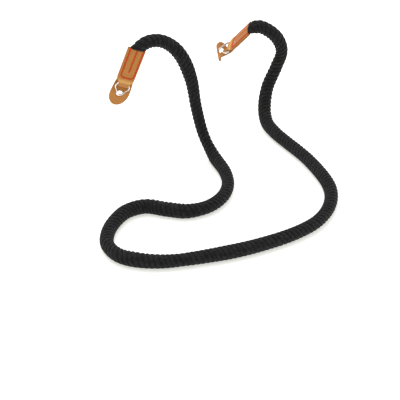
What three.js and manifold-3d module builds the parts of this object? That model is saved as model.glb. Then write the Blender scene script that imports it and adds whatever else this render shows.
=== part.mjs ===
// Rope neck strap. A soft ribbed cotton rope runs in one open loop. Each of its ends is squeezed
// flat and sewn into a leather tab, the tab is folded round the bar of a three-cornered split ring,
// and a leather guard with a hole lies behind the ring, so that its metal scratches nothing.
// Millimetres, +Z up. The origin is half way between the eyes of the two rings, +X points from the
// left eye to the right one, and the loop lies on a level surface EYE_HEIGHT below the eyes.
import * as THREE from 'three';
import { mergeVertices } from 'three/addons/utils/BufferGeometryUtils.js';
import Module from 'manifold-3d';

const wasm = await Module();
wasm.setup();

// Placing
const EYE_SPAN = 142.6;
const EYE_HEIGHT = 60;
const GAP = 0.3;

// Rope
const ROPE_DIAMETER = 13;
const ROPE_SIDES = 12;
const ROPE_STEP = ROPE_DIAMETER;
const SWELL_LENGTH = 9;
const SWELL_STEPS = 5;
const TONGUE_WIDTH = 14.4;
const TONGUE_THICKNESS = 2;
const TONGUE_LENGTH = 26;
const LENGTH_DIVISIONS = 50;

// Split ring, wound twice from round wire
const WIRE = 1;
const WIRE_SIDES = 6;
const WIRE_STEPS = 64;
const TURN_PITCH = 1.1;
const EYE_INNER_RADIUS = 1.9;
const EYE_TO_BAR = 13;
const BAR_HALF = 3.4;
const CORNER_RADIUS = 3.8;
const JOG = 0.06;

// Leather tab
const LEATHER = 1.5;
const BAR_HOLE_RADIUS = 1.5;
const BAR_TO_MOUTH = 42.5;
const MOUTH_WIDTH = 18.3;
const TAB_WIDTH = 18;
const FOLD_WIDTH = 11.2;
const SEAM_FROM_BAR = 8;
const POCKET_SHOULDER = 6;
const FOLD_SHOULDER = 1.2;
const FOLD_ARC_END = 70;

// Leather guard
const GUARD_WIDTH = 20;
const GUARD_BELOW_EYE = 14.4;
const GUARD_ABOVE_EYE = 30;
const GUARD_FLAT_HALF = 1.5;
const GUARD_LIFT = 13;
const GUARD_TO_FOLD = 11.9;
const GUARD_BEND_RADIUS = 4.2;
const TWIST_FROM = -4;
const TWIST_TO = 3.5;
const CURL_FROM = -1.5;
const CURL_FULL = 3;
const CURL_EASES = 6;
const CURL_END = 11.5;
const HOLE_RADIUS = 3.2;
const GUARD_SPOKES = 40;
const GUARD_RINGS = 6;

const ARC_STEPS = 10;
const CUTTER_DEPTH = 60;

// How each end hangs. ringAlong points from the eye to the bar and across runs along the bar.
// The turns are in degrees: the tab turns on the bar away from the guard, the guard's lower flap
// bends back, away from the ring, its round end is twisted about its length, the whole guard is
// swung about the eye, its round end towards across, and between the eye and the fold its other
// side is curled back.
const ENDS = [
  {
    side: 'left', eyeX: -EYE_SPAN / 2,
    ringAlong: [0.24, -0.246, 0.939], across: [0.758, -0.556, -0.339],
    tabTurn: 0, lowerFlap: 2, guardTwist: 0, guardSwing: -5, guardCurl: 0,
  },
  {
    side: 'right', eyeX: EYE_SPAN / 2,
    ringAlong: [0.345, -0.851, 0.395], across: [-0.77, -0.498, -0.399],
    tabTurn: 30, lowerFlap: 86, guardTwist: 20, guardSwing: 30, guardCurl: 60,
  },
];

// Points that the middle of the rope passes through, from the left tab's mouth to the right one's.
// LYING is its height where it lies on the surface.
const LYING = ROPE_DIAMETER / 2 - EYE_HEIGHT;
const ROPE_ROUTE = [
  [-47.5, -18, 58.1], [-36.2, -24.1, 57.7], [-26.1, -31, 50.4], [-19, -38, 37.5],
  [-15, -46.5, 15], [-17.5, -57, -13], [-21.5, -72, -37], [-26.5, -92.5, -51],
  [-37.5, -120.5, -53.2], [-51.5, -138.5, LYING], [-71, -150, LYING], [-92.1, -152.3, LYING],
  [-111.6, -144.3, LYING], [-123.5, -128.9, LYING], [-135.5, -110.5, LYING], [-154, -104.4, LYING],
  [-172.8, -109, LYING], [-190.2, -118.9, LYING], [-203.3, -133.6, LYING], [-206.5, -153, LYING],
  [-198.5, -171, LYING], [-182.5, -189, LYING], [-156, -206, LYING], [-109.5, -228, LYING],
  [-62, -241, LYING], [-32, -241.5, LYING], [-4, -231, LYING], [18.5, -210.5, LYING],
  [39.5, -164.5, LYING], [54.5, -100, -53.1], [60.5, -83, -51], [70.5, -69.5, -43.5],
  [84, -60, -27.5], [96, -60.5, -7], [100.8, -63.2, 11], [97.4, -60.2, 25.5],
  [90.7, -53.2, 35.2], [84.7, -45.1, 38.9],
];

const cotton = new THREE.MeshStandardMaterial({ color: 0x252527, roughness: 0.95, metalness: 0 });
const tanLeather = new THREE.MeshStandardMaterial({ color: 0xbd7f40, roughness: 0.6, metalness: 0 });
const chromedSteel = new THREE.MeshStandardMaterial({ color: 0xd9dadc, roughness: 0.2, metalness: 1 });

function solidOf(geometry) {
  const bare = geometry.clone();
  bare.deleteAttribute('normal');
  bare.deleteAttribute('uv');
  const merged = mergeVertices(bare);
  const vertProperties = new Float32Array(merged.attributes.position.array);
  const triVerts = new Uint32Array(merged.index.array);
  return new wasm.Manifold(new wasm.Mesh({ numProp: 3, vertProperties, triVerts }));
}

function geometryOf(solid) {
  const mesh = solid.getMesh();
  const geometry = new THREE.BufferGeometry();
  geometry.setAttribute('position', new THREE.BufferAttribute(mesh.vertProperties, 3));
  geometry.setIndex(new THREE.BufferAttribute(mesh.triVerts, 1));
  geometry.computeVertexNormals();
  return geometry;
}

// A side view (x along the tab, y out of its face) drawn out across the tab's width.
function acrossWidth(sideView, width) {
  const options = { depth: width, bevelEnabled: false, curveSegments: ARC_STEPS };
  const geometry = new THREE.ExtrudeGeometry(sideView, options);
  return solidOf(geometry.translate(0, 0, -width / 2).rotateX(Math.PI / 2));
}

// A front view (x along the tab, y across it) drawn out through its thickness.
function throughThickness(frontView) {
  const options = { depth: CUTTER_DEPTH, bevelEnabled: false, curveSegments: ARC_STEPS };
  const geometry = new THREE.ExtrudeGeometry(frontView, options);
  return solidOf(geometry.translate(0, 0, -CUTTER_DEPTH / 2));
}

// Leather tab: one strip folded round the ring's bar, its two layers sewn together at the seam and
// round the pocket that holds the rope's flat end. Its own origin is the middle of the bar.
function tabGeometry() {
  const foldRadius = BAR_HOLE_RADIUS + LEATHER;
  const pocketHalf = TONGUE_THICKNESS / 2 + GAP;
  const mouthHalf = pocketHalf + LEATHER;
  const pocketEnd = BAR_TO_MOUTH - TONGUE_LENGTH - GAP;
  const foldArc = THREE.MathUtils.degToRad(FOLD_ARC_END);

  const side = new THREE.Shape();
  side.moveTo(BAR_TO_MOUTH, -mouthHalf);
  side.lineTo(BAR_TO_MOUTH, -pocketHalf);
  side.lineTo(pocketEnd, -pocketHalf);
  side.lineTo(pocketEnd, pocketHalf);
  side.lineTo(BAR_TO_MOUTH, pocketHalf);
  side.lineTo(BAR_TO_MOUTH, mouthHalf);
  side.lineTo(pocketEnd + POCKET_SHOULDER, mouthHalf);
  side.lineTo(SEAM_FROM_BAR, LEATHER);
  side.absarc(0, 0, foldRadius, foldArc, 2 * Math.PI - foldArc, false);
  side.lineTo(SEAM_FROM_BAR, -LEATHER);
  side.lineTo(pocketEnd + POCKET_SHOULDER, -mouthHalf);
  side.closePath();
  const barHole = new THREE.Path();
  barHole.absarc(0, 0, BAR_HOLE_RADIUS, 0, 2 * Math.PI, true);
  side.holes.push(barHole);

  const front = new THREE.Shape();
  front.moveTo(-foldRadius, FOLD_WIDTH / 2);
  front.lineTo(-foldRadius, -FOLD_WIDTH / 2);
  front.lineTo(FOLD_SHOULDER, -FOLD_WIDTH / 2);
  front.quadraticCurveTo(SEAM_FROM_BAR / 2, -TAB_WIDTH / 2, SEAM_FROM_BAR, -TAB_WIDTH / 2);
  front.lineTo(BAR_TO_MOUTH, -MOUTH_WIDTH / 2);
  front.lineTo(BAR_TO_MOUTH, MOUTH_WIDTH / 2);
  front.lineTo(SEAM_FROM_BAR, TAB_WIDTH / 2);
  front.quadraticCurveTo(SEAM_FROM_BAR / 2, TAB_WIDTH / 2, FOLD_SHOULDER, FOLD_WIDTH / 2);
  front.closePath();

  return geometryOf(acrossWidth(side, TAB_WIDTH).intersect(throughThickness(front)));
}

// Split ring: the middle of its wire, wound nearly twice round a three-cornered loop. It changes
// layer in the jog, half way up one leg, where the wire's two ends stop short of each other.
class WireLine extends THREE.Curve {
  constructor() {
    super();
    const eyeRadius = EYE_INNER_RADIUS + WIRE / 2;
    const cornerX = EYE_TO_BAR - CORNER_RADIUS;
    const toCorner = new THREE.Vector2(cornerX - EYE_INNER_RADIUS, BAR_HALF);
    const legNormal = toCorner.angle() + Math.acos((eyeRadius - CORNER_RADIUS) / toCorner.length());
    const normal = new THREE.Vector2(Math.cos(legNormal), Math.sin(legNormal));
    const legAtEye = new THREE.Vector2(EYE_INNER_RADIUS, 0).addScaledVector(normal, eyeRadius);
    const legAtCorner = new THREE.Vector2(cornerX, BAR_HALF).addScaledVector(normal, CORNER_RADIUS);
    const legMiddle = legAtEye.clone().lerp(legAtCorner, 0.5);

    this.loop = new THREE.Path();
    this.loop.moveTo(legMiddle.x, legMiddle.y);
    this.loop.lineTo(legAtCorner.x, legAtCorner.y);
    this.loop.absarc(cornerX, BAR_HALF, CORNER_RADIUS, legNormal, 0, true);
    this.loop.lineTo(EYE_TO_BAR, -BAR_HALF);
    this.loop.absarc(cornerX, -BAR_HALF, CORNER_RADIUS, 0, -legNormal, true);
    this.loop.lineTo(legAtEye.x, -legAtEye.y);
    this.loop.absarc(EYE_INNER_RADIUS, 0, eyeRadius, -legNormal, legNormal - 2 * Math.PI, true);
    this.loop.lineTo(legMiddle.x, legMiddle.y);
  }

  getPoint(t, target = new THREE.Vector3()) {
    const turns = THREE.MathUtils.lerp(JOG, 2 - JOG, t);
    const onLoop = this.loop.getPointAt(turns % 1);
    const layer = THREE.MathUtils.smoothstep(turns, 1 - JOG, 1 + JOG) - 0.5;
    return target.set(onLoop.x, onLoop.y, layer * TURN_PITCH);
  }
}

function ringGeometry() {
  const corners = [];
  for (let corner = 0; corner < WIRE_SIDES; corner += 1) {
    const angle = (2 * Math.PI * corner) / WIRE_SIDES;
    corners.push(new THREE.Vector2(Math.cos(angle), Math.sin(angle)).multiplyScalar(WIRE / 2));
  }
  const section = new THREE.Shape(corners);
  const options = { steps: WIRE_STEPS, extrudePath: new WireLine(), bevelEnabled: false };
  return geometryOf(solidOf(new THREE.ExtrudeGeometry(section, options)));
}

// Faces over a row of rings of points, each ring joined to the next. A closed row also joins its
// last ring to its first, and an open row has both ends capped.
function skinOver(rings, closed) {
  const size = rings[0].length;
  const last = rings.length - 1;
  const faces = [];
  for (let ring = 0; ring < (closed ? rings.length : last); ring += 1) {
    const here = ring * size;
    const ahead = ((ring + 1) % rings.length) * size;
    for (let side = 0; side < size; side += 1) {
      const beside = (side + 1) % size;
      faces.push(here + side, here + beside, ahead + beside);
      faces.push(here + side, ahead + beside, ahead + side);
    }
  }
  for (let side = 1; side < size - 1 && !closed; side += 1) {
    faces.push(0, side + 1, side);
    faces.push(last * size, last * size + side, last * size + side + 1);
  }
  const geometry = new THREE.BufferGeometry();
  geometry.setFromPoints(rings.flat());
  geometry.setIndex(faces);
  geometry.computeVertexNormals();
  return geometry;
}

// Guard: an egg-shaped leather plate behind the ring, with a hole at the ring's eye. Its lower flap
// bends back, and its upper flap clears the tab's fold and then lies along the tab. Its own origin
// is the eye. A flap is walked outwards from the eye in straight runs and bends: a bend turns it
// away from the ring, or towards the ring where its degrees are negative.
function flapPoint(reach, bends) {
  const here = { along: 0, back: 0, angle: 0 };
  let left = reach;
  const goOn = (distance, turn) => {
    const chord = turn === 0 ? distance : (2 * distance * Math.sin(turn / 2)) / turn;
    here.along += chord * Math.cos(here.angle + turn / 2);
    here.back += chord * Math.sin(here.angle + turn / 2);
    here.angle += turn;
    left -= distance;
  };
  for (const { at, degrees } of bends) {
    const whole = THREE.MathUtils.degToRad(degrees);
    goOn(Math.min(left, Math.max(at - (reach - left), 0)), 0);
    const arc = Math.min(left, GUARD_BEND_RADIUS * Math.abs(whole));
    goOn(arc, (Math.sign(whole) * arc) / GUARD_BEND_RADIUS);
  }
  goOn(left, 0);
  return here;
}

function guardGeometry(end) {
  const plateBack = TURN_PITCH / 2 + WIRE / 2 + GAP + LEATHER / 2;
  const swing = THREE.MathUtils.degToRad(-end.guardSwing);
  const lowerBends = [{ at: GUARD_FLAT_HALF, degrees: end.lowerFlap }];
  const upperBends = [
    { at: GUARD_FLAT_HALF, degrees: GUARD_LIFT },
    { at: GUARD_TO_FOLD, degrees: -GUARD_LIFT - end.tabTurn },
  ];
  const onPlate = (reach, sideways, outward) => {
    const way = Math.sign(reach);
    const { along, back, angle } = flapPoint(Math.abs(reach), reach < 0 ? lowerBends : upperBends);
    const untwisted = THREE.MathUtils.smoothstep(reach, TWIST_FROM, TWIST_TO);
    const twist = THREE.MathUtils.degToRad(end.guardTwist) * (1 - untwisted);
    const curled = THREE.MathUtils.smoothstep(reach, CURL_FROM, CURL_FULL)
      - THREE.MathUtils.smoothstep(reach, CURL_EASES, CURL_END);
    const curl = { at: GUARD_FLAT_HALF, degrees: sideways < 0 ? end.guardCurl * curled : 0 };
    const side = flapPoint(Math.abs(sideways), [curl]);
    const aside = Math.sign(sideways) * (side.along - outward * Math.sin(side.angle));
    const lifted = side.back + outward * Math.cos(side.angle);
    const offPlate = aside * Math.sin(twist) + lifted * Math.cos(twist);
    return new THREE.Vector3(
      way * (along - offPlate * Math.sin(angle)),
      aside * Math.cos(twist) - lifted * Math.sin(twist),
      plateBack + back + offPlate * Math.cos(angle),
    );
  };

  const eyeCentre = new THREE.Vector2();
  const spokes = [];
  for (let spoke = 0; spoke < GUARD_SPOKES; spoke += 1) {
    const angle = (2 * Math.PI * spoke) / GUARD_SPOKES;
    const reach = Math.cos(angle) < 0 ? GUARD_BELOW_EYE : GUARD_ABOVE_EYE;
    const hole = new THREE.Vector2(HOLE_RADIUS, HOLE_RADIUS);
    const rim = new THREE.Vector2(reach, GUARD_WIDTH / 2);
    const backFace = [];
    const frontFace = [];
    for (let ring = 0; ring <= GUARD_RINGS; ring += 1) {
      const size = hole.clone().lerp(rim, ring / GUARD_RINGS);
      const spot = new THREE.Vector2(size.x * Math.cos(angle), size.y * Math.sin(angle));
      spot.rotateAround(eyeCentre, swing);
      backFace.push(onPlate(spot.x, spot.y, LEATHER / 2));
      frontFace.unshift(onPlate(spot.x, spot.y, -LEATHER / 2));
    }
    spokes.push([...backFace, ...frontFace]);
  }
  return skinOver(spokes, true);
}

// Rope: round sections along the route, swelling out of each tab's mouth from the flat tongue that
// lies in the tab's pocket. The swelling sections lean from the tab's direction into the rope's,
// and all of them turn evenly about the rope so that both tongues lie flat in their tabs.
function ropeStations(leftTab, rightTab) {
  const tongueEnd = BAR_TO_MOUTH - TONGUE_LENGTH;
  const inTab = (tab, along) => tab.localToWorld(new THREE.Vector3(along, 0, 0));
  const direction = (tab, axis) => new THREE.Vector3(...axis).transformDirection(tab.matrixWorld);
  const route = ROPE_ROUTE.map((point) => new THREE.Vector3(...point));
  const points = [inTab(leftTab, BAR_TO_MOUTH), ...route, inTab(rightTab, BAR_TO_MOUTH)];
  const curve = new THREE.CatmullRomCurve3(points, false, 'centripetal');
  curve.arcLengthDivisions = LENGTH_DIVISIONS * points.length;
  const length = curve.getLength();
  const swellStep = SWELL_LENGTH / SWELL_STEPS;
  const roundSteps = Math.round((length - 2 * SWELL_LENGTH) / ROPE_STEP);

  const distances = [];
  for (let step = 1; step < SWELL_STEPS; step += 1) distances.push(step * swellStep);
  for (let step = 0; step <= roundSteps; step += 1) {
    distances.push(SWELL_LENGTH + ((length - 2 * SWELL_LENGTH) * step) / roundSteps);
  }
  for (let step = SWELL_STEPS - 1; step > 0; step -= 1) distances.push(length - step * swellStep);

  const tongueStart = direction(leftTab, [1, 0, 0]);
  const tongueFinish = direction(rightTab, [-1, 0, 0]);
  const stations = [
    { point: inTab(leftTab, tongueEnd), along: tongueStart, distance: 0 },
    { point: inTab(leftTab, BAR_TO_MOUTH), along: tongueStart, distance: 0 },
    ...distances.map((distance) => {
      const along = curve.getTangentAt(distance / length);
      along.lerp(tongueStart, Math.max(1 - distance / SWELL_LENGTH, 0));
      along.lerp(tongueFinish, Math.max(1 - (length - distance) / SWELL_LENGTH, 0));
      return { point: curve.getPointAt(distance / length), along: along.normalize(), distance };
    }),
    { point: inTab(rightTab, BAR_TO_MOUTH), along: tongueFinish, distance: length },
    { point: inTab(rightTab, tongueEnd), along: tongueFinish, distance: length },
  ];

  const across = direction(leftTab, [0, 1, 0]);
  for (const station of stations) {
    across.addScaledVector(station.along, -across.dot(station.along)).normalize();
    const fromMouth = Math.min(station.distance, length - station.distance, SWELL_LENGTH);
    const swell = Math.sin((Math.PI / 2) * (fromMouth / SWELL_LENGTH));
    station.across = across.clone();
    station.halfWidth = THREE.MathUtils.lerp(TONGUE_WIDTH, ROPE_DIAMETER, swell) / 2;
    station.halfThickness = THREE.MathUtils.lerp(TONGUE_THICKNESS, ROPE_DIAMETER, swell) / 2;
  }
  const wanted = direction(rightTab, [0, 1, 0]);
  const sine = tongueFinish.dot(new THREE.Vector3().crossVectors(across, wanted));
  const twist = Math.atan(sine / across.dot(wanted));
  for (const station of stations) {
    station.across.applyAxisAngle(station.along, (twist * station.distance) / length);
  }
  return stations;
}

function ropeGeometry(stations) {
  const rings = stations.map(({ point, along, across, halfWidth, halfThickness }) => {
    const outward = new THREE.Vector3().crossVectors(along, across);
    const ring = [];
    for (let side = 0; side < ROPE_SIDES; side += 1) {
      const angle = (2 * Math.PI * side) / ROPE_SIDES;
      const corner = point.clone().addScaledVector(across, halfWidth * Math.cos(angle));
      ring.push(corner.addScaledVector(outward, halfThickness * Math.sin(angle)));
    }
    return ring;
  });
  return skinOver(rings, false);
}

function namedMesh(name, geometry, material) {
  const mesh = new THREE.Mesh(geometry, material);
  mesh.name = name;
  return mesh;
}

// An end's own frame: x from the eye to the bar, y along the bar, z towards the guard.
function endGroup(end) {
  const along = new THREE.Vector3(...end.ringAlong).normalize();
  const across = new THREE.Vector3(...end.across);
  across.addScaledVector(along, -across.dot(along)).normalize();
  const back = new THREE.Vector3().crossVectors(along, across);
  const group = new THREE.Group();
  group.position.set(end.eyeX, 0, 0);
  group.quaternion.setFromRotationMatrix(new THREE.Matrix4().makeBasis(along, across, back));

  const tab = namedMesh(`tab_${end.side}`, tabGeometry(), tanLeather);
  tab.position.x = EYE_TO_BAR;
  tab.rotation.y = THREE.MathUtils.degToRad(end.tabTurn);
  group.add(tab);
  group.add(namedMesh(`ring_${end.side}`, ringGeometry(), chromedSteel));
  group.add(namedMesh(`guard_${end.side}`, guardGeometry(end), tanLeather));
  return group;
}

const strap = new THREE.Group();
for (const end of ENDS) strap.add(endGroup(end));
strap.updateMatrixWorld(true);
const tabs = ENDS.map((end) => strap.getObjectByName(`tab_${end.side}`));
strap.add(namedMesh('rope', ropeGeometry(ropeStations(...tabs)), cotton));

export default strap;
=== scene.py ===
import itertools
import math

import bpy
import numpy as np
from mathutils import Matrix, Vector


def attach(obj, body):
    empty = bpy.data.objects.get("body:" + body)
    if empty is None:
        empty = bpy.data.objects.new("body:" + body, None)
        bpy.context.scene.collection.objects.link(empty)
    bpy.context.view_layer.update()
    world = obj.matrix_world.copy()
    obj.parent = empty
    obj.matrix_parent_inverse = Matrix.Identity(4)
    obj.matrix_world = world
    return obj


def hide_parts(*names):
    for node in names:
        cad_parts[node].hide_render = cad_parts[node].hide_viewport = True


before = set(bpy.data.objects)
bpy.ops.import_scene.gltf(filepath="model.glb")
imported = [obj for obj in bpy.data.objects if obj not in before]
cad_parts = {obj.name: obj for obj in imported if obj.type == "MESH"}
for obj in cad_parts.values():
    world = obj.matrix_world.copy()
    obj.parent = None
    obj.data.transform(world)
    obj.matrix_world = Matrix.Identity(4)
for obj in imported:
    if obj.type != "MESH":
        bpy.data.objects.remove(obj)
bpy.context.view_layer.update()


# Camera. It looks down on the strap from the front left through a long lens, as far off as the
# photograph was taken, and aims at the middle of the floor that the loop lies on.
VIEW_AZIMUTH = math.radians(-43.46)
VIEW_ELEVATION = math.radians(34)
VIEW_DISTANCE = 1.375
VIEW_AIM = Vector((-0.083, -0.1316, -0.06))
LENS_MM = 126
SENSOR_MM = 36

view_back = Vector((
    math.sin(VIEW_AZIMUTH) * math.cos(VIEW_ELEVATION),
    -math.cos(VIEW_AZIMUTH) * math.cos(VIEW_ELEVATION),
    math.sin(VIEW_ELEVATION),
))
camera = bpy.data.objects.new("camera", bpy.data.cameras.new("camera"))
camera.data.lens = LENS_MM
camera.data.sensor_width = SENSOR_MM
camera.location = VIEW_AIM + VIEW_DISTANCE * view_back
camera.rotation_euler = view_back.to_track_quat("Z", "Y").to_euler()
bpy.context.scene.collection.objects.link(camera)
bpy.context.scene.camera = camera


# Rope. The strap's body is one length of soft black cotton rope with a knitted cover, whose ribs
# wind round it like a coarse screw thread. Both ends are pressed flat into tongues that are sewn
# into the leather tabs, and between the tabs the rope falls to the floor and lies in a loose loop.
EYE_SPAN = 0.1426
EYE_TO_BAR = 0.013
BAR_TO_MOUTH = 0.0425
END_LIES = {
    "left": {
        "eye_x": -EYE_SPAN / 2,
        "ring_along": (0.24, -0.246, 0.939),
        "across": (0.758, -0.556, -0.339),
        "tab_turn": 0,
    },
    "right": {
        "eye_x": EYE_SPAN / 2,
        "ring_along": (0.345, -0.851, 0.395),
        "across": (-0.77, -0.498, -0.399),
        "tab_turn": 30,
    },
}
ROPE_DIAMETER = 0.013
ROPE_SIDES = 48
ROPE_STEP = 0.0005
LINE_PIECES = 60
LYING = -0.0535
FLOOR_HEIGHT = -0.0598
# x, y and z of points on the rope's middle, from the left tab's mouth to the right one's.
ROPE_ROUTE = [
    (-0.0475, -0.018, 0.0581), (-0.0362, -0.0241, 0.0577), (-0.0261, -0.031, 0.0504),
    (-0.019, -0.038, 0.0375), (-0.015, -0.0465, 0.015), (-0.0175, -0.057, -0.013),
    (-0.0215, -0.072, -0.037), (-0.0265, -0.0925, -0.051), (-0.0375, -0.1205, -0.0532),
    (-0.0515, -0.1385, LYING), (-0.071, -0.15, LYING), (-0.0921, -0.1523, LYING),
    (-0.1116, -0.1443, LYING), (-0.1235, -0.1289, LYING), (-0.1355, -0.1105, LYING),
    (-0.154, -0.1044, LYING), (-0.1728, -0.109, LYING), (-0.1902, -0.1189, LYING),
    (-0.2033, -0.1336, LYING), (-0.2065, -0.153, LYING), (-0.1985, -0.171, LYING),
    (-0.1825, -0.189, LYING), (-0.156, -0.206, LYING), (-0.1095, -0.228, LYING),
    (-0.062, -0.241, LYING), (-0.032, -0.2415, LYING), (-0.004, -0.231, LYING),
    (0.0185, -0.2105, LYING), (0.0395, -0.1645, LYING), (0.0545, -0.1, -0.0531),
    (0.0605, -0.083, -0.051), (0.0705, -0.0695, -0.0435), (0.084, -0.06, -0.0275),
    (0.096, -0.0605, -0.007), (0.1008, -0.0632, 0.011), (0.0974, -0.0602, 0.0255),
    (0.0907, -0.0532, 0.0352), (0.0847, -0.0451, 0.0389),
]
TONGUE_WIDTH = 0.0144
TONGUE_THICKNESS = 0.0014
TONGUE_LENGTH = 0.026
TONGUE_RINGS = 8
SWELL_LENGTH = 0.007
SWELL_INSIDE = 0.0003
RIB_STARTS = 4
RIB_PITCH = 0.0046
RIB_DEPTH = 0.0019
RIB_PROUD = 0.0004
RIB_ROUNDNESS = 0.36
RIB_PRESSED = 0.25
RIB_FREE_HEIGHT = 0.004
RIB_WANDER = 0.1
# Radians a metre, weight, and start in radians of each slow wave that the ribs drift in.
WANDER_WAVES = ((61, 1.0, 0.0), (143, 0.6, 1.3), (317, 0.4, 0.7))
# Metres from the left mouth, and how full the soft rope is there, as a share of its diameter.
FULLNESS = [
    (0.03, 1), (0.05, 1.06), (0.07, 1.06), (0.1, 0.89), (0.15, 0.84), (0.17, 0.98), (0.21, 0.9),
    (0.27, 0.98), (0.29, 1.1), (0.34, 1.07), (0.41, 0.95), (0.44, 1.09), (0.485, 0.91),
    (0.53, 1.03), (0.64, 0.91), (0.69, 1), (0.76, 0.96), (0.83, 1), (0.85, 1.03), (0.91, 0.94),
    (0.93, 1.04),
]
YARNS_ROUND = 34
YARN_ROUNDNESS = 0.5
STITCHES_PER_RIB = 2
FIBRE_SCALE = 2600
FIBRE_DETAIL = 3
FIBRE_HEIGHT = 0.5
LINT_SCALE = 110
LINT_DETAIL = 2
YARN_SHADE = (0.35, 1)
STITCH_SHADE = (0.2, 1.2)
FIBRE_SHADE = (0.6, 1.4)
LINT_SHADE = (0.25, 1.75)
KNIT_BUMP = {"Strength": 0.7, "Distance": 0.0003}
# Painted shade: the colour falls from the crest colour to the groove colour deep between the ribs.
ROPE_GROOVE_SHADE_COLOUR = (0.0052, 0.0052, 0.0053, 1)
ROPE_CREST_COLOUR = (0.0235, 0.0235, 0.0248, 1)


def unit(vectors):
    return vectors / np.linalg.norm(vectors, axis=-1, keepdims=True)


def hanging_spots(lie):
    """Where an end's ring and tab sit: their origins, and their x, y and z directions as rows."""
    along = unit(np.array(lie["ring_along"]))
    across = np.array(lie["across"])
    across = unit(across - across @ along * along)
    back = np.cross(along, across)
    eye = np.array((lie["eye_x"], 0, 0))
    turn = math.radians(lie["tab_turn"])
    tab_along = math.cos(turn) * along - math.sin(turn) * back
    tab_back = math.sin(turn) * along + math.cos(turn) * back
    ring = {"origin": eye, "axes": np.array((along, across, back))}
    tab = {"origin": eye + EYE_TO_BAR * along, "axes": np.array((tab_along, across, tab_back))}
    return ring, tab


def placed(spot, points):
    """Points given in a spot's own directions, as places in the scene."""
    return spot["origin"] + np.asarray(points) @ spot["axes"]


def smooth_line(points, pieces):
    """A smooth line through all the points, with so many pieces between each two of them."""
    ends = np.vstack((2 * points[0] - points[1], points, 2 * points[-1] - points[-2]))
    share = np.linspace(0, 1, pieces, endpoint=False)[:, None]
    line = []
    for before, here, there, after in zip(ends, ends[1:], ends[2:], ends[3:]):
        gap_before = math.sqrt(np.linalg.norm(here - before))
        gap = math.sqrt(np.linalg.norm(there - here))
        gap_after = math.sqrt(np.linalg.norm(after - there))
        leave = (here - before) / gap_before - (there - before) / (gap_before + gap)
        leave = (leave + (there - here) / gap) * gap
        arrive = (there - here) / gap - (after - here) / (gap + gap_after)
        arrive = (arrive + (after - there) / gap_after) * gap
        bend = 3 * (there - here) - 2 * leave - arrive
        close = 2 * (here - there) + leave + arrive
        line.append(here + leave * share + bend * share**2 + close * share**3)
    return np.vstack((*line, points[-1:]))


def lengths_along(line):
    """How far along a line each of its points lies."""
    return np.concatenate(([0], np.cumsum(np.linalg.norm(np.diff(line, axis=0), axis=1))))


def carried(along, across):
    """The across direction carried along a line without turning about it, one for each direction."""
    kept = []
    for direction in along:
        across = unit(across - across @ direction * direction)
        kept.append(across)
    return np.array(kept)


def wander(run):
    """The slow drift of the ribs along the rope."""
    return sum(weight * np.sin(rate * run + start) for rate, weight, start in WANDER_WAVES)


def skin_faces(rows, columns, closed):
    """Faces over a grid of rings. A closed grid joins its last ring to its first."""
    row = np.arange(rows if closed else rows - 1)[:, None]
    column = np.arange(columns)[None, :]
    here = row * columns
    ahead = (row + 1) % rows * columns
    beside = (column + 1) % columns
    corners = (here + column, here + beside, ahead + beside, ahead + column)
    return np.stack(corners, axis=-1).reshape(-1, 4).tolist()


def cap_faces(rows, columns):
    """The faces that close the first and the last ring of a grid."""
    first = list(range(columns))
    return [first[::-1], [(rows - 1) * columns + corner for corner in first]]


def make_piece(name, points, faces, material):
    mesh = bpy.data.meshes.new(name)
    mesh.from_pydata(np.reshape(points, (-1, 3)).tolist(), [], faces)
    mesh.shade_smooth()
    mesh.materials.append(material)
    piece = bpy.data.objects.new(name, mesh)
    bpy.context.scene.collection.objects.link(piece)
    return piece


def add_node(tree, kind, inputs, **settings):
    node = tree.nodes.new(kind)
    for name, value in settings.items():
        setattr(node, name, value)
    for name, value in inputs.items():
        if isinstance(value, bpy.types.NodeSocket):
            tree.links.new(value, node.inputs[name])
        else:
            node.inputs[name].default_value = value
    return node


def calculate(tree, operation, *values):
    inputs = dict(enumerate(values))
    return add_node(tree, "ShaderNodeMath", inputs, operation=operation).outputs[0]


def between(tree, share, low, high):
    """A share from 0 to 1, spread over low to high."""
    inputs = {"Value": share, "To Min": low, "To Max": high}
    return add_node(tree, "ShaderNodeMapRange", inputs, clamp=False).outputs["Result"]


def noise(tree, place, scale, detail):
    inputs = {"Vector": place, "Scale": scale, "Detail": detail}
    return add_node(tree, "ShaderNodeTexNoise", inputs).outputs["Fac"]


def mixed_colour(tree, share, low, high):
    inputs = {"Factor": share, "A": low, "B": high}
    return add_node(tree, "ShaderNodeMix", inputs, data_type="RGBA").outputs["Result"]


def raise_surface(tree, shader, height, bump):
    raised = add_node(tree, "ShaderNodeBump", {"Height": height, **bump})
    tree.links.new(raised.outputs["Normal"], shader.inputs["Normal"])


def new_material(name, shader_inputs):
    material = bpy.data.materials.new(name)
    material.use_nodes = True
    tree = material.node_tree
    shader = tree.nodes["Principled BSDF"]
    for socket, value in shader_inputs.items():
        shader.inputs[socket].default_value = value
    return material, tree, shader


def round_ridge(tree, position, roundness):
    """1 on the crest and 0 in the groove of ridges that repeat with each whole number."""
    part = calculate(tree, "FRACT", position)
    fall = calculate(tree, "SUBTRACT", 1, part)
    hump = calculate(tree, "MULTIPLY", calculate(tree, "MULTIPLY", part, fall), 4)
    return calculate(tree, "POWER", hump, roundness)


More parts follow.
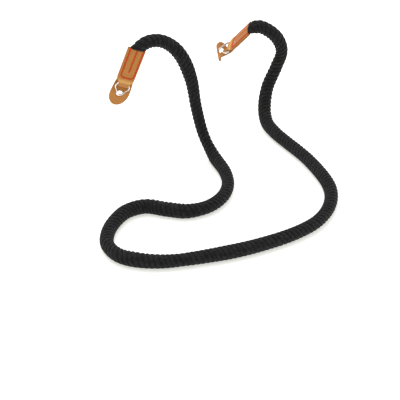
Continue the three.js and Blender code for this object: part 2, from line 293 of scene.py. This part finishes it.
def black_cotton():
    """Knitted cotton: painted shade between the ribs and between the yarns along the rope, and lint
    in patches.
    """
    material, tree, shader = new_material("black_cotton", {
        "Roughness": 0.92,
        "Specular IOR Level": 0.25,
        "Sheen Weight": 0.12,
        "Sheen Roughness": 0.5,
        "Sheen Tint": (0.5, 0.5, 0.52, 1),
    })
    place = add_node(tree, "ShaderNodeUVMap", {}, uv_map="rope_uv").outputs["UV"]
    split = add_node(tree, "ShaderNodeSeparateXYZ", {0: place}).outputs
    rib_start = calculate(tree, "MULTIPLY", split["X"], RIB_STARTS)
    rib = calculate(tree, "SUBTRACT", rib_start, split["Y"])
    yarn = calculate(tree, "MULTIPLY", split["X"], YARNS_ROUND)
    crest = round_ridge(tree, rib, RIB_ROUNDNESS)
    yarn_crest = round_ridge(tree, yarn, YARN_ROUNDNESS)
    stitch_row = calculate(tree, "MULTIPLY", rib, STITCHES_PER_RIB)
    stitch = add_node(tree, "ShaderNodeCombineXYZ", {
        "X": calculate(tree, "FLOOR", stitch_row),
        "Y": calculate(tree, "FLOOR", yarn),
    }).outputs[0]
    dye = add_node(
        tree, "ShaderNodeTexWhiteNoise", {"Vector": stitch}, noise_dimensions="3D",
    ).outputs["Value"]
    few_pale = calculate(tree, "MULTIPLY", dye, dye)
    surface = add_node(tree, "ShaderNodeTexCoord", {}).outputs["Object"]
    fibre = noise(tree, surface, FIBRE_SCALE, FIBRE_DETAIL)
    lint = noise(tree, surface, LINT_SCALE, LINT_DETAIL)

    # Painted shade: the colour darkens in the rib grooves and between the yarns; stitches, fibres
    # and lint patches vary the tone at random.
    shade = crest
    for share, limits in (
        (yarn_crest, YARN_SHADE),
        (few_pale, STITCH_SHADE),
        (fibre, FIBRE_SHADE),
        (lint, LINT_SHADE),
    ):
        shade = calculate(tree, "MULTIPLY", shade, between(tree, share, *limits))
    colour = mixed_colour(tree, shade, ROPE_GROOVE_SHADE_COLOUR, ROPE_CREST_COLOUR)
    knit = calculate(tree, "MULTIPLY", yarn_crest, crest)
    height = calculate(tree, "ADD", knit, calculate(tree, "MULTIPLY", fibre, FIBRE_HEIGHT))
    tree.links.new(colour, shader.inputs["Base Color"])
    raise_surface(tree, shader, height, KNIT_BUMP)
    return material


ring_spots, tab_spots, mouths = {}, {}, {}
for side, lie in END_LIES.items():
    ring_spots[side], tab_spots[side] = hanging_spots(lie)
    mouths[side] = placed(tab_spots[side], (BAR_TO_MOUTH, 0, 0))

# The rope's middle. A run is a length from the left mouth, so it is below 0 in the left tongue.
free_line = smooth_line(np.array([mouths["left"], *ROPE_ROUTE, mouths["right"]]), LINE_PIECES)
free_run = lengths_along(free_line)
free_length = free_run[-1]
run = np.concatenate((
    np.linspace(-TONGUE_LENGTH, 0, TONGUE_RINGS, endpoint=False),
    np.linspace(0, free_length, round(free_length / ROPE_STEP)),
    np.linspace(free_length + TONGUE_LENGTH, free_length, TONGUE_RINGS, endpoint=False)[::-1],
))
tongue_out = tab_spots["left"]["axes"][0]
tongue_in = -tab_spots["right"]["axes"][0]
centre = np.column_stack([np.interp(run, free_run, free_line[:, axis]) for axis in range(3)])
centre += np.outer(np.minimum(run, 0), tongue_out)
centre += np.outer(np.maximum(run - free_length, 0), tongue_in)

# The way each section faces. A slow twist brings the right tongue flat into its tab.
along = np.gradient(centre, run, axis=0)
along += np.clip(1 - run / SWELL_LENGTH, 0, 1)[:, None] * (tongue_out - along)
along += np.clip(1 - (free_length - run) / SWELL_LENGTH, 0, 1)[:, None] * (tongue_in - along)
along = unit(along)
across = carried(along, tab_spots["left"]["axes"][1])
wanted = tab_spots["right"]["axes"][1]
full_twist = math.atan(along[-1] @ np.cross(across[-1], wanted) / (across[-1] @ wanted))
twist = full_twist * np.clip(run / free_length, 0, 1)[:, None]
across = across * np.cos(twist) + np.cross(along, across) * np.sin(twist)
outward = np.cross(along, across)

# The size of each section, which swells from the flat tongue to the round rope.
from_mouth = np.minimum(run, free_length - run) + SWELL_INSIDE
swell = np.sqrt(1 - (1 - np.clip(from_mouth / SWELL_LENGTH, 0, 1)) ** 2)[:, None]
girth = 1 + (np.interp(run, *np.transpose(FULLNESS)) - 1)[:, None] * swell
half_width = (TONGUE_WIDTH + (ROPE_DIAMETER - TONGUE_WIDTH) * swell) / 2 * girth
half_thickness = (TONGUE_THICKNESS + (ROPE_DIAMETER - TONGUE_THICKNESS) * swell) / 2 * girth

# The ribs round each section. The rope's weight presses them flat against the floor.
round_share = np.arange(ROPE_SIDES)[None, :] / ROPE_SIDES
rib_turns = run / RIB_PITCH + RIB_WANDER * wander(run)
rib_part = np.mod(RIB_STARTS * round_share - rib_turns[:, None], 1)
rib_crest = (4 * rib_part * (1 - rib_part)) ** RIB_ROUNDNESS
sideways = (half_width * np.cos(2 * math.pi * round_share))[..., None] * across[:, None]
upwards = (half_thickness * np.sin(2 * math.pi * round_share))[..., None] * outward[:, None]
from_centre = sideways + upwards
over_floor = centre[:, None, 2] + from_centre[..., 2] - FLOOR_HEIGHT
rib_share = RIB_PRESSED + (1 - RIB_PRESSED) * np.clip(over_floor / RIB_FREE_HEIGHT, 0, 1)
relief = swell * rib_share * (RIB_PROUD - (1 - rib_crest) * RIB_DEPTH) / (ROPE_DIAMETER / 2)
rope_points = centre[:, None] + (1 + relief)[..., None] * from_centre
rope_points[..., 2] = np.maximum(rope_points[..., 2], FLOOR_HEIGHT)

rope_faces = skin_faces(len(run), ROPE_SIDES, False) + cap_faces(len(run), ROPE_SIDES)
rope = make_piece("rope_cord", rope_points, rope_faces, black_cotton())
corner_row = np.arange(len(run) - 1)[:, None, None] + np.array((0, 0, 1, 1))
corner_column = np.arange(ROPE_SIDES)[None, :, None] + np.array((0, 1, 1, 0))
corner_row, corner_column = np.broadcast_arrays(corner_row, corner_column)
skin_uv = np.stack((corner_column / ROPE_SIDES, rib_turns[corner_row]), axis=-1).reshape(-1, 2)
cap_uv = np.zeros((2 * ROPE_SIDES, 2))
rope_uv = np.vstack((skin_uv, cap_uv)).astype(np.float32)
rope.data.uv_layers.new(name="rope_uv").data.foreach_set("uv", rope_uv.ravel())
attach(rope, "root")
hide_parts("rope")


# Leather tabs. Each is one strip of tan leather, folded round the bar of the split ring so that its
# two halves lie face to face. Between them lies the rope's flat tongue, which makes the leather
# swell inside the seam. The cut edges are left raw and are darker than the face.
LEATHER = 0.0015
LEATHER_CORNER = 0.0004
LEATHER_CORNER_STEPS = 3
TAB_WIDTH = 0.018
MOUTH_WIDTH = 0.0183
FOLD_WIDTH = 0.0112
FOLD_SHOULDER = 0.0012
FOLD_RADIUS = 0.00225
FOLD_ARC_END = math.radians(70)
SEAM_FROM_BAR = 0.008
LAYER_GAP = 0.00003
STRIP_END_SHARE = 0.75
FLAT_ROWS = 60
SHOULDER_ROWS = 12
ARC_ROWS = 20
TAB_COLUMNS = 45
SEAM_INSET = 0.0023
SEAM_SHIFT = 0.0005
SEAM_START = 0.0415
SEAM_END = 0.0082
SEAM_ROUND = 0.0034
CENTRE_SEAM_END = 0.0163
SEAM_POINTS = 60
SEAM_CORNER_POINTS = 16
PULL_DEPTH = 0.0004
PULL_WIDTH = 0.0008
PUFF = 0.00135
PUFF_WIDTH = 0.0132
PUFF_FROM = 0.011
PUFF_FULL = 0.02
PUFF_ROUNDNESS = 0.75
PUFF_VALLEY = 0.45
VALLEY_WIDTH = 0.0016
EDGE_BAND = 0.0007
# Where the painted highlight on the outer face over the fold lies, from the bar, and how wide it is.
FOLD_HIGHLIGHT_FROM_BAR = 0.0035
FOLD_HIGHLIGHT_WIDTH = 0.0022
CLOUD_SCALE = 190
CLOUD_DETAIL = 4
PEBBLE_SCALE = 1700
PORE_SCALE = 3200
PORE_DETAIL = 2
PORE_HEIGHT = 0.6
EDGE_SHADE = (0.55, 1.25)
LEATHER_ROUGHNESS = (0.42, 0.62)
GRAIN_BUMP = {"Strength": 0.35, "Distance": 0.00012}
LEATHER_COLOUR = (0.44, 0.168, 0.03, 1)
LEATHER_LIGHT = (0.545, 0.233, 0.052, 1)
LEATHER_EDGE = (0.38, 0.145, 0.029, 1)
# The pale colour of the painted highlight over the fold.
LEATHER_FOLD_HIGHLIGHT = (0.77, 0.41, 0.13, 1)


def tan_leather():
    """Waxed tan leather: cloudy colour, pebbled grain, a painted highlight over the fold and darker
    edges.
    """
    material, tree, shader = new_material("tan_leather", {"Specular IOR Level": 0.25})
    surface = add_node(tree, "ShaderNodeTexCoord", {}).outputs["Object"]
    cloud = noise(tree, surface, CLOUD_SCALE, CLOUD_DETAIL)
    pores = noise(tree, surface, PORE_SCALE, PORE_DETAIL)
    pebbles = add_node(tree, "ShaderNodeTexVoronoi", {"Vector": surface, "Scale": PEBBLE_SCALE})
    edge = add_node(tree, "ShaderNodeAttribute", {}, attribute_name="edge").outputs["Fac"]
    fold_highlight = add_node(tree, "ShaderNodeAttribute", {}, attribute_name="fold_highlight").outputs["Fac"]

    worn = calculate(tree, "MULTIPLY", edge, between(tree, pores, *EDGE_SHADE))
    colour = mixed_colour(tree, cloud, LEATHER_COLOUR, LEATHER_LIGHT)
    # Painted highlight: a pale band on the outer face over the fold.
    colour = mixed_colour(tree, fold_highlight, colour, LEATHER_FOLD_HIGHLIGHT)
    colour = mixed_colour(tree, worn, colour, LEATHER_EDGE)
    pitted = calculate(tree, "MULTIPLY", pores, PORE_HEIGHT)
    height = calculate(tree, "ADD", pebbles.outputs["Distance"], pitted)
    tree.links.new(colour, shader.inputs["Base Color"])
    tree.links.new(between(tree, cloud, *LEATHER_ROUGHNESS), shader.inputs["Roughness"])
    raise_surface(tree, shader, height, GRAIN_BUMP)
    return material


def rise(value, low, high):
    """An eased step from 0 at low to 1 at high."""
    share = np.clip((value - low) / (high - low), 0, 1)
    return share * share * (3 - 2 * share)


def tab_half_width(distance):
    """Half the strip's width at a distance from the bar: narrow in the fold, widest at the mouth."""
    shoulder = np.clip((distance - FOLD_SHOULDER) / (SEAM_FROM_BAR - FOLD_SHOULDER), 0, 1)
    widened = 1 - (1 - shoulder) ** 2
    taper = np.clip((distance - SEAM_FROM_BAR) / (BAR_TO_MOUTH - SEAM_FROM_BAR), 0, 1)
    width = FOLD_WIDTH + (TAB_WIDTH - FOLD_WIDTH) * widened + (MOUTH_WIDTH - TAB_WIDTH) * taper
    return width / 2


def seam_lines():
    """The two sewn lines, as distances from the bar and across: round the tongue, and its middle."""
    straight = np.linspace(SEAM_START, SEAM_END + SEAM_ROUND, SEAM_POINTS)
    edge = tab_half_width(straight) - SEAM_INSET
    turn = np.linspace(0, math.pi / 2, SEAM_CORNER_POINTS)[1:]
    corner = np.column_stack((
        SEAM_END + SEAM_ROUND * (1 - np.sin(turn)),
        edge[-1] - SEAM_ROUND * (1 - np.cos(turn)),
    ))
    half = np.vstack((np.column_stack((straight, edge)), corner))
    bottom = np.linspace(half[-1], half[-1] * (1, -1), SEAM_CORNER_POINTS)[1:-1]
    outline = np.vstack((half, bottom, half[::-1] * (1, -1)))
    middle = np.linspace((SEAM_START, 0), (CENTRE_SEAM_END, 0), SEAM_POINTS)
    return outline + (0, SEAM_SHIFT), middle + (0, SEAM_SHIFT)


def leather_puff(distance, sideways):
    """How far the tongue lifts each layer off the tab's middle plane."""
    dome = np.clip(1 - (2 * sideways / PUFF_WIDTH) ** 2, 0, 1) ** PUFF_ROUNDNESS
    lifted = rise(distance, PUFF_FROM, PUFF_FULL)
    valley = PUFF_VALLEY * np.exp(-(sideways / VALLEY_WIDTH) ** 2) * lifted
    return PUFF * dome * lifted * (1 - valley)


def thread_pull(distance, sideways):
    """How far the thread draws the leather's face in, beside the sewn lines."""
    sewn = np.vstack(seam_lines())
    offsets = np.stack((distance, sideways), axis=-1)[..., None, :] - sewn
    nearest = np.sqrt((offsets**2).sum(axis=-1).min(axis=-1))
    return PULL_DEPTH * np.exp(-(nearest / PULL_WIDTH) ** 2)


def strip_side_view():
    """The middle of the strip seen from the side, from one end round the bar to the other."""
    level = LEATHER / 2 + LAYER_GAP
    flat = np.linspace(BAR_TO_MOUTH, SEAM_FROM_BAR, FLAT_ROWS)
    arc = np.linspace(FOLD_ARC_END, math.pi, ARC_ROWS)
    fold = FOLD_RADIUS * np.column_stack((np.cos(arc), np.sin(arc)))
    shoulder = np.linspace((SEAM_FROM_BAR, level), fold[0], SHOULDER_ROWS, endpoint=False)[1:]
    half = np.vstack((np.column_stack((flat, np.full(FLAT_ROWS, level))), shoulder, fold))
    return np.vstack((half, half[-2::-1] * (1, -1)))


def leather_section(half_width, columns):
    """Round a cut through the leather: across it, and off its middle. Its corners are rounded."""
    flat = np.linspace(-1, 1, columns) * (half_width - LEATHER_CORNER)
    bend = np.linspace(math.pi / 2, 0, LEATHER_CORNER_STEPS + 1)[1:]
    over = half_width - LEATHER_CORNER + LEATHER_CORNER * np.cos(bend)
    down = LEATHER / 2 - LEATHER_CORNER + LEATHER_CORNER * np.sin(bend)
    top = np.column_stack((flat, np.full(columns, LEATHER / 2)))
    right = np.column_stack((over, down))
    half = np.vstack((right[::-1] * (-1, 1), top, right))
    return np.vstack((half, half[::-1] * (1, -1)))


def mark(piece, name, values):
    """Gives a piece a number at each of its points, for its material to read."""
    attribute = piece.data.attributes.new(name, "FLOAT", "POINT")
    attribute.data.foreach_set("value", np.ravel(values).astype(np.float32))


def leather_tab(name, spot, material):
    side_view = strip_side_view()
    heading = unit(np.gradient(side_view, axis=0))
    face_out = np.column_stack((heading[:, 1], -heading[:, 0]))
    rings, edges, fold_highlights = [], [], []
    last = len(side_view) - 1
    for row, (middle, out) in enumerate(zip(side_view, face_out)):
        half_width = tab_half_width(middle[0])
        sideways, off = leather_section(half_width, TAB_COLUMNS).T
        distance = np.full(len(sideways), middle[0])
        outer_share = (off + LEATHER / 2) / LEATHER
        off = off - thread_pull(distance, sideways) * outer_share
        if row in (0, last):
            off = off * STRIP_END_SHARE
        off = off + leather_puff(distance, sideways)
        rings.append(np.column_stack((middle[0] + out[0] * off, sideways, middle[1] + out[1] * off)))
        to_edge = np.minimum(half_width - np.abs(sideways), BAR_TO_MOUTH - middle[0])
        edges.append(np.clip(1 - to_edge / EDGE_BAND, 0, 1))
        # Painted highlight: a pale band on the outer face where the leather rounds over the bar.
        fold_highlight = np.exp(-((distance - FOLD_HIGHLIGHT_FROM_BAR) / FOLD_HIGHLIGHT_WIDTH) ** 2)
        fold_highlights.append(fold_highlight * outer_share)
    rings = np.array(rings)
    rows, columns = rings.shape[:2]
    faces = skin_faces(rows, columns, False) + cap_faces(rows, columns)
    tab = make_piece(name, placed(spot, rings), faces, material)
    mark(tab, "edge", edges)
    mark(tab, "fold_highlight", fold_highlights)
    return tab


leather = tan_leather()
for side, spot in tab_spots.items():
    tab = leather_tab(f"leather_tab_{side}", spot, leather)
    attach(tab, "root")
    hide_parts(f"tab_{side}")


# Stitching. Waxed red thread is sewn through both layers of each tab, in one line that runs down
# both edges and round the end of the tongue, and in a second one down its middle. Each stitch is
# a short, rounded length of thread that lies partly sunk in the leather's face.
STITCH_PITCH = 0.0032
STITCH_LENGTH = 0.0035
STITCH_SEGMENTS = 8
STITCH_RINGS = 8
UNIT_BALL_RADIUS = 0.5
THREAD = 0.0014
THREAD_PROUD = 0.0002
PLY_SCALE = 2400
PLY_DETAIL = 2
PLY_BUMP = {"Strength": 0.5, "Distance": 0.0001}
THREAD_COLOUR = (0.8, 0.05, 0.01, 1)
THREAD_DARK = (0.62, 0.025, 0.006, 1)


def red_thread():
    """Waxed thread: two reds, and the fine relief of its plies."""
    shine = {"Roughness": 0.6, "Specular IOR Level": 0.2}
    material, tree, shader = new_material("red_thread", shine)
    surface = add_node(tree, "ShaderNodeTexCoord", {}).outputs["Object"]
    ply = noise(tree, surface, PLY_SCALE, PLY_DETAIL)
    colour = mixed_colour(tree, ply, THREAD_DARK, THREAD_COLOUR)
    tree.links.new(colour, shader.inputs["Base Color"])
    raise_surface(tree, shader, ply, PLY_BUMP)
    return material


def sewn_seam(thread):
    """A tree that lays one stitch after another along the edges of a mesh."""
    tree = bpy.data.node_groups.new("sewn_seam", "GeometryNodeTree")
    sockets = {}
    tree.interface.new_socket("Geometry", in_out="INPUT", socket_type="NodeSocketGeometry")
    for name in ("Stitch pitch", "Stitch length", "Thread"):
        socket = tree.interface.new_socket(name, in_out="INPUT", socket_type="NodeSocketFloat")
        sockets[name] = socket.identifier
    tree.interface.new_socket("Geometry", in_out="OUTPUT", socket_type="NodeSocketGeometry")
    given = add_node(tree, "NodeGroupInput", {}).outputs
    path = add_node(tree, "GeometryNodeMeshToCurve", {"Mesh": given["Geometry"]}).outputs["Curve"]
    marks = add_node(
        tree, "GeometryNodeResampleCurve", {"Curve": path, "Length": given["Stitch pitch"]},
        mode="LENGTH",
    ).outputs["Curve"]
    heading = add_node(tree, "GeometryNodeInputTangent", {}).outputs["Tangent"]
    face_out = add_node(
        tree, "GeometryNodeInputNamedAttribute", {"Name": "face_out"}, data_type="FLOAT_VECTOR",
    ).outputs["Attribute"]
    lying = add_node(
        tree, "FunctionNodeAlignRotationToVector", {"Vector": heading}, axis="X",
    ).outputs["Rotation"]
    lying = add_node(
        tree, "FunctionNodeAlignRotationToVector", {"Rotation": lying, "Vector": face_out},
        axis="Z", pivot_axis="X",
    ).outputs["Rotation"]
    ball = add_node(tree, "GeometryNodeMeshUVSphere", {
        "Segments": STITCH_SEGMENTS, "Rings": STITCH_RINGS, "Radius": UNIT_BALL_RADIUS,
    }).outputs["Mesh"]
    ball = add_node(tree, "GeometryNodeSetShadeSmooth", {"Geometry": ball}).outputs["Geometry"]
    size = add_node(tree, "ShaderNodeCombineXYZ", {
        "X": given["Stitch length"], "Y": given["Thread"], "Z": given["Thread"],
    }).outputs[0]
    laid = add_node(tree, "GeometryNodeInstanceOnPoints", {
        "Points": marks, "Instance": ball, "Rotation": lying, "Scale": size,
    }).outputs["Instances"]
    real = add_node(tree, "GeometryNodeRealizeInstances", {"Geometry": laid}).outputs["Geometry"]
    dyed = add_node(tree, "GeometryNodeSetMaterial", {"Geometry": real, "Material": thread})
    add_node(tree, "NodeGroupOutput", {"Geometry": dyed.outputs["Geometry"]})
    return tree, sockets


def seam_on_face(seam, face):
    """A sewn line on the tab's front (1) or back (-1): its points, and the way the face looks."""
    distance, sideways = seam.T
    height = LEATHER + LAYER_GAP + leather_puff(distance, sideways)
    height += THREAD_PROUD - thread_pull(distance, sideways)
    climb = leather_puff(distance, sideways + THREAD) - leather_puff(distance, sideways - THREAD)
    slope = climb / (2 * THREAD)
    out = unit(np.column_stack((np.zeros(len(seam)), -slope, np.ones(len(seam)))))
    points = np.column_stack((distance, sideways, height))
    return points * (1, 1, face), out * (1, 1, face)


seam_tree, seam_sockets = sewn_seam(red_thread())
for side, spot in tab_spots.items():
    points, outs, edges = [], [], []
    for seam, face in itertools.product(seam_lines(), (1, -1)):
        seam_points, seam_outs = seam_on_face(seam, face)
        start = len(points)
        points.extend(placed(spot, seam_points).tolist())
        outs.extend((seam_outs @ spot["axes"]).ravel())
        edges.extend((start + step, start + step + 1) for step in range(len(seam) - 1))
    path = bpy.data.meshes.new(f"stitching_{side}")
    path.from_pydata(points, edges, [])
    path.attributes.new("face_out", "FLOAT_VECTOR", "POINT").data.foreach_set("vector", outs)
    stitching = bpy.data.objects.new(f"stitching_{side}", path)
    bpy.context.scene.collection.objects.link(stitching)
    sewing = stitching.modifiers.new("sewing", "NODES")
    sewing.node_group = seam_tree
    sewing[seam_sockets["Stitch pitch"]] = STITCH_PITCH
    sewing[seam_sockets["Stitch length"]] = STITCH_LENGTH
    sewing[seam_sockets["Thread"]] = THREAD
    evaluated = stitching.evaluated_get(bpy.context.evaluated_depsgraph_get())
    stitching.data = bpy.data.meshes.new_from_object(evaluated)
    stitching.modifiers.remove(sewing)
    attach(stitching, "root")


# Split rings. Each is a length of round spring wire, wound nearly twice into a three-cornered ring
# and chromed. Its straight bar lies in the tab's fold, and its narrow end is the eye.
WIRE = 0.001
WIRE_SIDES = 16
WIRE_STEPS = 260
TURN_PITCH = 0.0011
EYE_INNER_RADIUS = 0.0019
BAR_HALF = 0.0034
CORNER_RADIUS = 0.0038
CORNER_STEPS = 16
JOG = 0.06
SCUFF_SCALE = 900
SCUFF_DETAIL = 3
SCUFF_BUMP = {"Strength": 0.1, "Distance": 0.00005}
CHROME_ROUGHNESS = (0.08, 0.22)
CHROME_COLOUR = (0.82, 0.82, 0.83, 1)


def bright_chrome():
    """Polished chrome with faint scuffs."""
    metal = {"Base Color": CHROME_COLOUR, "Metallic": 1}
    material, tree, shader = new_material("bright_chrome", metal)
    surface = add_node(tree, "ShaderNodeTexCoord", {}).outputs["Object"]
    scuff = noise(tree, surface, SCUFF_SCALE, SCUFF_DETAIL)
    tree.links.new(between(tree, scuff, *CHROME_ROUGHNESS), shader.inputs["Roughness"])
    raise_surface(tree, shader, scuff, SCUFF_BUMP)
    return material


def flat_arc(centre_x, centre_y, radius, start, finish):
    turn = np.linspace(start, finish, CORNER_STEPS)
    return np.column_stack((centre_x + radius * np.cos(turn), centre_y + radius * np.sin(turn)))


def wire_line():
    """The middle of the wire: twice round the three-cornered loop, changing layer in the jog."""
    eye_radius = EYE_INNER_RADIUS + WIRE / 2
    corner_x = EYE_TO_BAR - CORNER_RADIUS
    reach = corner_x - EYE_INNER_RADIUS
    leg = math.atan2(BAR_HALF, reach)
    leg += math.acos((eye_radius - CORNER_RADIUS) / math.hypot(reach, BAR_HALF))
    far_corner = flat_arc(corner_x, BAR_HALF, CORNER_RADIUS, leg, 0)
    near_corner = flat_arc(corner_x, -BAR_HALF, CORNER_RADIUS, 0, -leg)
    eye = flat_arc(EYE_INNER_RADIUS, 0, eye_radius, -leg, leg - 2 * math.pi)
    leg_middle = (far_corner[0] + eye[-1]) / 2
    loop = np.vstack((leg_middle, far_corner, near_corner, eye, leg_middle))
    gone = lengths_along(loop)
    turns = np.linspace(JOG, 2 - JOG, WIRE_STEPS)
    on_loop = [np.interp(np.mod(turns, 1) * gone[-1], gone, loop[:, axis]) for axis in (0, 1)]
    layer = TURN_PITCH * rise(turns, 1 - JOG, 1 + JOG) - TURN_PITCH / 2
    return np.column_stack((*on_loop, layer))


chrome = bright_chrome()
for side, spot in ring_spots.items():
    wire = placed(spot, wire_line())
    heading = unit(np.gradient(wire, axis=0))
    off = carried(heading, spot["axes"][2])
    turn = 2 * math.pi * np.arange(WIRE_SIDES)[None, :, None] / WIRE_SIDES
    section = np.cos(turn) * off[:, None] + np.sin(turn) * np.cross(heading, off)[:, None]
    faces = skin_faces(WIRE_STEPS, WIRE_SIDES, False) + cap_faces(WIRE_STEPS, WIRE_SIDES)
    ring = make_piece(f"split_ring_{side}", wire[:, None] + section * WIRE / 2, faces, chrome)
    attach(ring, "root")
    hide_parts(f"ring_{side}")


# Guards. Each is an egg-shaped plate of the same leather with a round hole, held behind the ring
# so that the metal rubs on nothing. It is soft: its round lower end bends away from the ring, and
# its upper end is pushed off by the fold and then lies along the tab.
GUARD_LIES = {
    "left": {"lower_flap": 2, "twist": 0, "swing": -5, "curl": 0},
    "right": {"lower_flap": 86, "twist": 20, "swing": 30, "curl": 60},
}
GUARD_WIDTH = 0.02
GUARD_BELOW_EYE = 0.0144
GUARD_ABOVE_EYE = 0.03
GUARD_FLAT_HALF = 0.0015
GUARD_LIFT = 13
GUARD_TO_FOLD = 0.0119
GUARD_BEND_RADIUS = 0.0042
GUARD_GAP = 0.0003
TWIST_FROM = -0.004
TWIST_TO = 0.0035
CURL_FROM = -0.0015
CURL_FULL = 0.003
CURL_EASES = 0.006
CURL_END = 0.0115
HOLE_RADIUS = 0.0032
GUARD_SPOKES = 120
GUARD_RINGS = 14


def flap_point(reach, bends):
    """A point on a flap seen from the side, walked out from the eye in straight runs and bends."""
    along, back, angle, left = 0, 0, 0, reach
    for at, degrees in bends:
        whole = math.radians(degrees)
        straight = min(left, max(at - (reach - left), 0))
        along += straight * math.cos(angle)
        back += straight * math.sin(angle)
        left -= straight
        arc = min(left, GUARD_BEND_RADIUS * abs(whole))
        turn = math.copysign(arc / GUARD_BEND_RADIUS, whole)
        chord = 2 * GUARD_BEND_RADIUS * math.sin(abs(turn) / 2)
        along += chord * math.cos(angle + turn / 2)
        back += chord * math.sin(angle + turn / 2)
        angle += turn
        left -= arc
    return along + left * math.cos(angle), back + left * math.sin(angle), angle


def leather_guard(name, side, spot, material):
    lie = GUARD_LIES[side]
    plate_back = TURN_PITCH / 2 + WIRE / 2 + GUARD_GAP + LEATHER / 2
    over_fold = -GUARD_LIFT - END_LIES[side]["tab_turn"]
    lower_bends = [(GUARD_FLAT_HALF, lie["lower_flap"])]
    upper_bends = [(GUARD_FLAT_HALF, GUARD_LIFT), (GUARD_TO_FOLD, over_fold)]

    def on_plate(reach, sideways, off):
        """A point of the flat plate, bent, twisted and curled as the plate lies."""
        way = math.copysign(1, reach)
        along, back, angle = flap_point(abs(reach), lower_bends if reach < 0 else upper_bends)
        twist = math.radians(lie["twist"]) * (1 - rise(reach, TWIST_FROM, TWIST_TO))
        curled = rise(reach, CURL_FROM, CURL_FULL) - rise(reach, CURL_EASES, CURL_END)
        curl = lie["curl"] * curled if sideways < 0 else 0
        aside, lifted, side_angle = flap_point(abs(sideways), [(GUARD_FLAT_HALF, curl)])
        aside = math.copysign(aside - off * math.sin(side_angle), sideways)
        lifted += off * math.cos(side_angle)
        off_plate = aside * math.sin(twist) + lifted * math.cos(twist)
        return (
            way * (along - off_plate * math.sin(angle)),
            aside * math.cos(twist) - lifted * math.sin(twist),
            plate_back + back + off_plate * math.cos(angle),
        )

    swing = math.radians(lie["swing"])
    swung = np.array(((math.cos(swing), -math.sin(swing)), (math.sin(swing), math.cos(swing))))
    spokes, edges = [], []
    for spoke in range(GUARD_SPOKES):
        angle = 2 * math.pi * spoke / GUARD_SPOKES
        way = np.array((math.cos(angle), math.sin(angle)))
        reach = GUARD_BELOW_EYE if way[0] < 0 else GUARD_ABOVE_EYE
        hole = way * HOLE_RADIUS
        rim = way * (reach, GUARD_WIDTH / 2)
        length = np.linalg.norm(rim - hole)
        section = leather_section(length / 2, GUARD_RINGS)
        gone = section[:, 0] + length / 2
        plate_points = (hole + np.outer(gone / length, rim - hole)) @ swung
        spokes.append([on_plate(*point, off) for point, off in zip(plate_points, section[:, 1])])
        edges.append(1 - np.minimum(gone, length - gone) / EDGE_BAND)
    spokes = np.array(spokes)
    rows, columns = spokes.shape[:2]
    guard = make_piece(name, placed(spot, spokes), skin_faces(rows, columns, True), material)
    mark(guard, "edge", np.clip(edges, 0, 1))
    return guard


for side, spot in ring_spots.items():
    guard = leather_guard(f"leather_guard_{side}", side, spot, leather)
    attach(guard, "root")
    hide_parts(f"guard_{side}")


# Floor and light. The strap lies on a plain pale sheet that glows a little, like the top of a light
# table, under a wide soft light from above and a little behind, in an evenly bright white room.
FLOOR_HALF = 30
FLOOR_COLOUR = (0.92, 0.92, 0.91, 1)
FLOOR_GLOW_COLOUR = (0.92, 0.92, 0.86, 1)
FLOOR_GLOW = 0.58
ROOM_COLOUR = (1, 1, 1, 1)
ROOM_STRENGTH = 0.62
SOFTBOX_SIZE = 1.6
SOFTBOX_POWER = 18
SOFTBOX_PLACE = Vector((0.25, 0.55, 1.5))

floor_corners = [
    (x * FLOOR_HALF, y * FLOOR_HALF, FLOOR_HEIGHT)
    for x, y in ((-1, -1), (1, -1), (1, 1), (-1, 1))
]
pale_paper = new_material("pale_paper", {
    "Base Color": FLOOR_COLOUR,
    "Roughness": 0.8,
    "Emission Color": FLOOR_GLOW_COLOUR,
    "Emission Strength": FLOOR_GLOW,
})[0]
floor = make_piece("floor", floor_corners, [(0, 1, 2, 3)], pale_paper)

room = bpy.data.worlds.new("room")
room.use_nodes = True
room_light = room.node_tree.nodes["Background"].inputs
room_light["Color"].default_value = ROOM_COLOUR
room_light["Strength"].default_value = ROOM_STRENGTH
bpy.context.scene.world = room

softbox = bpy.data.objects.new("softbox", bpy.data.lights.new("softbox", "AREA"))
softbox.data.shape = "SQUARE"
softbox.data.size = SOFTBOX_SIZE
softbox.data.energy = SOFTBOX_POWER
softbox.location = SOFTBOX_PLACE
softbox.rotation_euler = (SOFTBOX_PLACE - VIEW_AIM).to_track_quat("Z", "Y").to_euler()
bpy.context.scene.collection.objects.link(softbox)
bpy.context.scene.view_settings.view_transform = "Standard"
